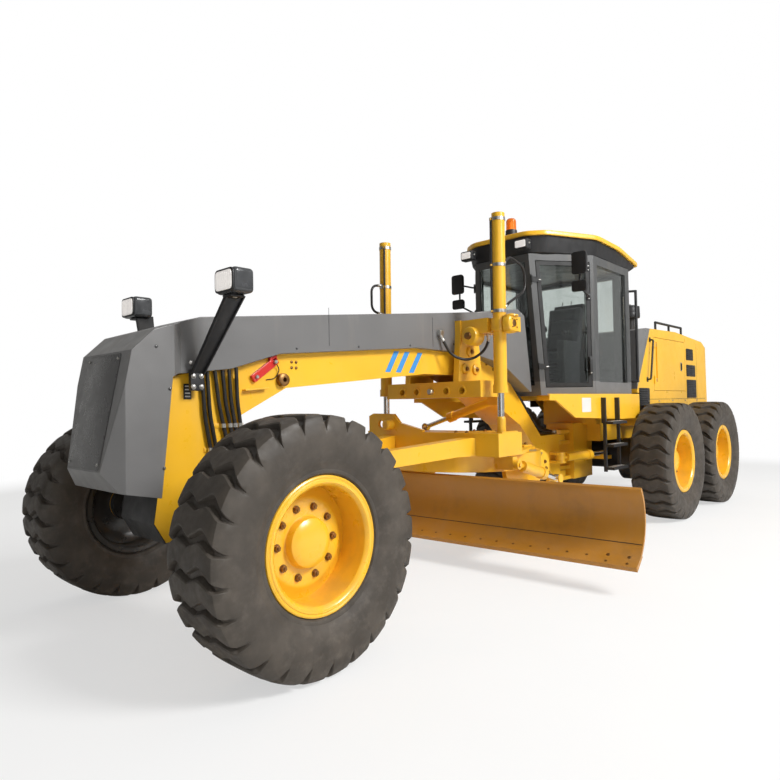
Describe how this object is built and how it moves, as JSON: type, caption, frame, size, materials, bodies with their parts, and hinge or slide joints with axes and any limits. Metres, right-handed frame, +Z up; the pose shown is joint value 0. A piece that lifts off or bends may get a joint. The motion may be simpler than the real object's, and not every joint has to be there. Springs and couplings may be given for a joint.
{
  "type": "motor grader",
  "caption": "Articulated motor grader with leaning front wheels, tandem rear wheels, glazed cab and a turning blade on a drawbar.",
  "frame": {"origin": "on the ground under the middle of the whole bounding box", "axes": "+X forward, +Y to the machine's left, +Z up"},
  "size_m": [8.965, 3.9664, 3.4398],
  "materials": {
    "yellow": "gloss",
    "blade_yellow": "satin",
    "grey": "satin",
    "black": "matte",
    "tyre": "matte",
    "chrome": "polished",
    "glass": "gloss",
    "iron": "matte",
    "seat_fabric": "matte"
  },
  "bodies": {
    "rear_frame": {"rear_frame": "yellow", "tandem_axle": "black", "engine_block": "iron", "cab_body": "grey", "cab_roof": "yellow", "cab_glass": "glass", "seat": "seat_fabric", "steering_console": "black", "engine_hood": "yellow", "rails_and_stacks": "black", "roof_lamps": "black"},
    "front_frame": {"front_frame": "yellow", "nose_cover": "grey", "front_axle": "yellow", "saddle": "yellow", "headlamps": "black", "hoses": "black"},
    "cab_door_left": {"cab_door_left": "black", "door_glass_left": "glass", "mirror_left": "black"},
    "cab_door_right": {"cab_door_right": "black", "door_glass_right": "glass", "mirror_right": "black"},
    "hood_door_left": {"hood_door_left": "yellow"},
    "hood_door_right": {"hood_door_right": "yellow"},
    "lean_left": {"lean_knuckle_left": "yellow"},
    "lean_right": {"lean_knuckle_right": "yellow"},
    "lean_bar": {"lean_bar": "yellow"},
    "steer_left": {"steering_knuckle_left": "yellow"},
    "steer_right": {"steering_knuckle_right": "yellow"},
    "tie_rod_end": {"tie_rod_end": "yellow"},
    "tie_rod": {"tie_rod": "yellow"},
    "drawbar": {"drawbar": "yellow"},
    "circle": {"circle": "yellow"},
    "blade_bracket": {"blade_bracket": "yellow"},
    "blade": {"blade": "blade_yellow"},
    "tilt_barrel": {"tilt_barrel": "yellow"},
    "tilt_rod": {"tilt_rod": "chrome"},
    "lift_barrel_left": {"lift_barrel_left": "yellow"},
    "lift_barrel_right": {"lift_barrel_right": "yellow"},
    "lift_rod_left": {"lift_rod_left": "chrome"},
    "lift_rod_right": {"lift_rod_right": "chrome"},
    "shift_barrel": {"shift_barrel": "yellow"},
    "shift_rod": {"shift_rod": "chrome"},
    "articulation_barrel_left": {"articulation_barrel_left": "yellow"},
    "articulation_barrel_right": {"articulation_barrel_right": "yellow"},
    "articulation_rod_left": {"articulation_rod_left": "chrome"},
    "articulation_rod_right": {"articulation_rod_right": "chrome"},
    "front_left_wheel": {"front_left_tyre": "tyre", "front_left_rim": "yellow"},
    "front_right_wheel": {"front_right_tyre": "tyre", "front_right_rim": "yellow"},
    "middle_left_wheel": {"middle_left_tyre": "tyre", "middle_left_rim": "yellow"},
    "middle_right_wheel": {"middle_right_tyre": "tyre", "middle_right_rim": "yellow"},
    "rear_left_wheel": {"rear_left_tyre": "tyre", "rear_left_rim": "yellow"},
    "rear_right_wheel": {"rear_right_tyre": "tyre", "rear_right_rim": "yellow"}
  },
  "joints": [
    {"name": "articulation", "type": "hinge", "parent": "rear_frame", "child": "front_frame", "pos_m": [-0.932, 0, 0.75], "axis": [0, 0, -1], "range_deg": [-22, 22]},
    {"name": "lean_left", "type": "hinge", "parent": "front_frame", "child": "lean_left", "pos_m": [3.768, 0.7, 0.64], "axis": [1, 0, 0], "range_deg": [-17, 17]},
    {"name": "lean_right", "type": "hinge", "parent": "front_frame", "child": "lean_right", "pos_m": [3.768, -0.7, 0.64], "axis": [1, 0, 0], "range_deg": [-17, 17]},
    {"name": "lean_bar", "type": "hinge", "parent": "lean_left", "child": "lean_bar", "pos_m": [3.768, 0.7, 0.93], "axis": [1, 0, 0], "range_deg": [-17, 17]},
    {"name": "steer_left", "type": "hinge", "parent": "lean_left", "child": "steer_left", "pos_m": [3.768, 0.815, 0.64], "axis": [0, 0, 1], "range_deg": [-45, 45]},
    {"name": "steer_right", "type": "hinge", "parent": "lean_right", "child": "steer_right", "pos_m": [3.768, -0.815, 0.64], "axis": [0, 0, 1], "range_deg": [-45, 45]},
    {"name": "tie_rod_end", "type": "hinge", "parent": "steer_left", "child": "tie_rod_end", "pos_m": [3.438, 0.815, 0.494], "axis": [0, 0, 1], "range_deg": [-45, 45]},
    {"name": "tie_rod", "type": "hinge", "parent": "tie_rod_end", "child": "tie_rod", "pos_m": [3.438, 0.74, 0.494], "axis": [1, 0, 0], "range_deg": [-17, 17]},
    {"name": "front_left_wheel", "type": "hinge", "parent": "steer_left", "child": "front_left_wheel", "pos_m": [3.768, 1.0775, 0.674], "axis": [0, 1, 0], "continuous": true},
    {"name": "front_right_wheel", "type": "hinge", "parent": "steer_right", "child": "front_right_wheel", "pos_m": [3.768, -1.0775, 0.674], "axis": [0, 1, 0], "continuous": true},
    {"name": "middle_left_wheel", "type": "hinge", "parent": "rear_frame", "child": "middle_left_wheel", "pos_m": [-1.682, 1.0775, 0.674], "axis": [0, 1, 0], "continuous": true},
    {"name": "middle_right_wheel", "type": "hinge", "parent": "rear_frame", "child": "middle_right_wheel", "pos_m": [-1.682, -1.0775, 0.674], "axis": [0, 1, 0], "continuous": true},
    {"name": "rear_left_wheel", "type": "hinge", "parent": "rear_frame", "child": "rear_left_wheel", "pos_m": [-3.22, 1.0775, 0.674], "axis": [0, 1, 0], "continuous": true},
    {"name": "rear_right_wheel", "type": "hinge", "parent": "rear_frame", "child": "rear_right_wheel", "pos_m": [-3.22, -1.0775, 0.674], "axis": [0, 1, 0], "continuous": true},
    {"name": "drawbar_lift", "type": "hinge", "parent": "front_frame", "child": "drawbar", "pos_m": [3.418, 0, 0.87], "axis": [0, 1, 0], "range_deg": [-14, 3]},
    {"name": "circle_turn", "type": "hinge", "parent": "drawbar", "child": "circle", "pos_m": [0.868, 0, 0.85], "axis": [0, 0, 1], "range_deg": [-65, 65]},
    {"name": "blade_tilt", "type": "hinge", "parent": "circle", "child": "blade_bracket", "pos_m": [1.01772, 0.00916, 0.4], "axis": [0.061, -0.9981, 0], "range_deg": [-25, 2]},
    {"name": "blade_shift", "type": "slide", "parent": "blade_bracket", "child": "blade", "axis": [-0.061, 0.9981, 0], "range_m": [-0.67, 0.67]},
    {"name": "articulation_barrel_left", "type": "hinge", "parent": "front_frame", "child": "articulation_barrel_left", "pos_m": [-0.532, 0.3, 0.755], "axis": [0, 0, 1], "range_deg": [-13.39, 13.39]},
    {"name": "articulation_rod_left", "type": "slide", "parent": "articulation_barrel_left", "child": "articulation_rod_left", "axis": [-0.9912, 0.1322, 0], "range_m": [-0.1343, 0.1343]},
    {"name": "lift_barrel_left", "type": "hinge", "parent": "front_frame", "child": "lift_barrel_left", "pos_m": [1.244, 0.69, 2.07], "axis": [0, 1, 0], "range_deg": [-0.13, 0.4]},
    {"name": "lift_rod_left", "type": "slide", "parent": "lift_barrel_left", "child": "lift_rod_left", "axis": [0.0117, 0, -0.9999], "range_m": [-0.1137, 0.529]},
    {"name": "articulation_barrel_right", "type": "hinge", "parent": "front_frame", "child": "articulation_barrel_right", "pos_m": [-0.532, -0.3, 0.755], "axis": [0, 0, 1], "range_deg": [-13.39, 13.39]},
    {"name": "articulation_rod_right", "type": "slide", "parent": "articulation_barrel_right", "child": "articulation_rod_right", "axis": [-0.9912, -0.1322, 0], "range_m": [-0.1343, 0.1343]},
    {"name": "lift_barrel_right", "type": "hinge", "parent": "front_frame", "child": "lift_barrel_right", "pos_m": [1.244, -0.69, 2.07], "axis": [0, 1, 0], "range_deg": [-0.13, 0.4]},
    {"name": "lift_rod_right", "type": "slide", "parent": "lift_barrel_right", "child": "lift_rod_right", "axis": [0.0117, 0, -0.9999], "range_m": [-0.1137, 0.529]},
    {"name": "tilt_barrel", "type": "hinge", "parent": "circle", "child": "tilt_barrel", "pos_m": [1.21842, 0.82293, 0.85], "axis": [-0.061, 0.9981, 0], "range_deg": [-1.2, 14.38]},
    {"name": "tilt_rod", "type": "slide", "parent": "tilt_barrel", "child": "tilt_rod", "axis": [-0.9669, -0.0591, -0.2484], "range_m": [-0.1782, 0.0147]},
    {"name": "shift_barrel", "type": "hinge", "parent": "front_frame", "child": "shift_barrel", "pos_m": [0.938, 0.44, 1.42], "axis": [1, 0, 0], "range_deg": [-6.3, 29.2]},
    {"name": "shift_rod", "type": "slide", "parent": "shift_barrel", "child": "shift_rod", "axis": [0, -0.9551, -0.2964], "range_m": [-0.0619, 0.2873]},
    {"name": "cab_door_left", "type": "hinge", "parent": "rear_frame", "child": "cab_door_left", "pos_m": [0.04733, 0.40325, 1.5], "axis": [-0.0599, 0.0337, -0.9976], "range_deg": [0, 100]},
    {"name": "cab_door_right", "type": "hinge", "parent": "rear_frame", "child": "cab_door_right", "pos_m": [0.04733, -0.40325, 1.5], "axis": [-0.0599, -0.0337, -0.9976], "range_deg": [-100, 0]},
    {"name": "hood_door_left", "type": "hinge", "parent": "rear_frame", "child": "hood_door_left", "pos_m": [-2.198, 0.756, 1.85], "axis": [0, 0, -1], "range_deg": [0, 100]},
    {"name": "hood_door_right", "type": "hinge", "parent": "rear_frame", "child": "hood_door_right", "pos_m": [-2.198, -0.756, 1.85], "axis": [0, 0, -1], "range_deg": [-100, 0]}
  ],
  "couplings": [
    {"joint": "lean_right", "follows": "lean_left", "ratio": 1},
    {"joint": "lean_bar", "follows": "lean_left", "ratio": -1},
    {"joint": "steer_right", "follows": "steer_left", "ratio": 1},
    {"joint": "tie_rod_end", "follows": "steer_left", "ratio": -1},
    {"joint": "tie_rod", "follows": "lean_left", "ratio": -0.9014},
    {"joint": "articulation_barrel_left", "follows": "articulation", "ratio": 0.60616},
    {"joint": "articulation_rod_left", "follows": "articulation", "m_per_rad": 0.34844},
    {"joint": "lift_barrel_left", "follows": "drawbar_lift", "ratio": -0.02508},
    {"joint": "lift_rod_left", "follows": "drawbar_lift", "m_per_rad": -2.1629},
    {"joint": "articulation_barrel_right", "follows": "articulation", "ratio": 0.60616},
    {"joint": "articulation_rod_right", "follows": "articulation", "m_per_rad": -0.34844},
    {"joint": "lift_barrel_right", "follows": "drawbar_lift", "ratio": -0.02508},
    {"joint": "lift_rod_right", "follows": "drawbar_lift", "m_per_rad": -2.1629},
    {"joint": "tilt_barrel", "follows": "blade_tilt", "ratio": -0.57333},
    {"joint": "tilt_rod", "follows": "blade_tilt", "m_per_rad": 0.40724},
    {"joint": "shift_barrel", "follows": "drawbar_lift", "ratio": -2.0822},
    {"joint": "shift_rod", "follows": "drawbar_lift", "m_per_rad": -1.1736}
  ]
}
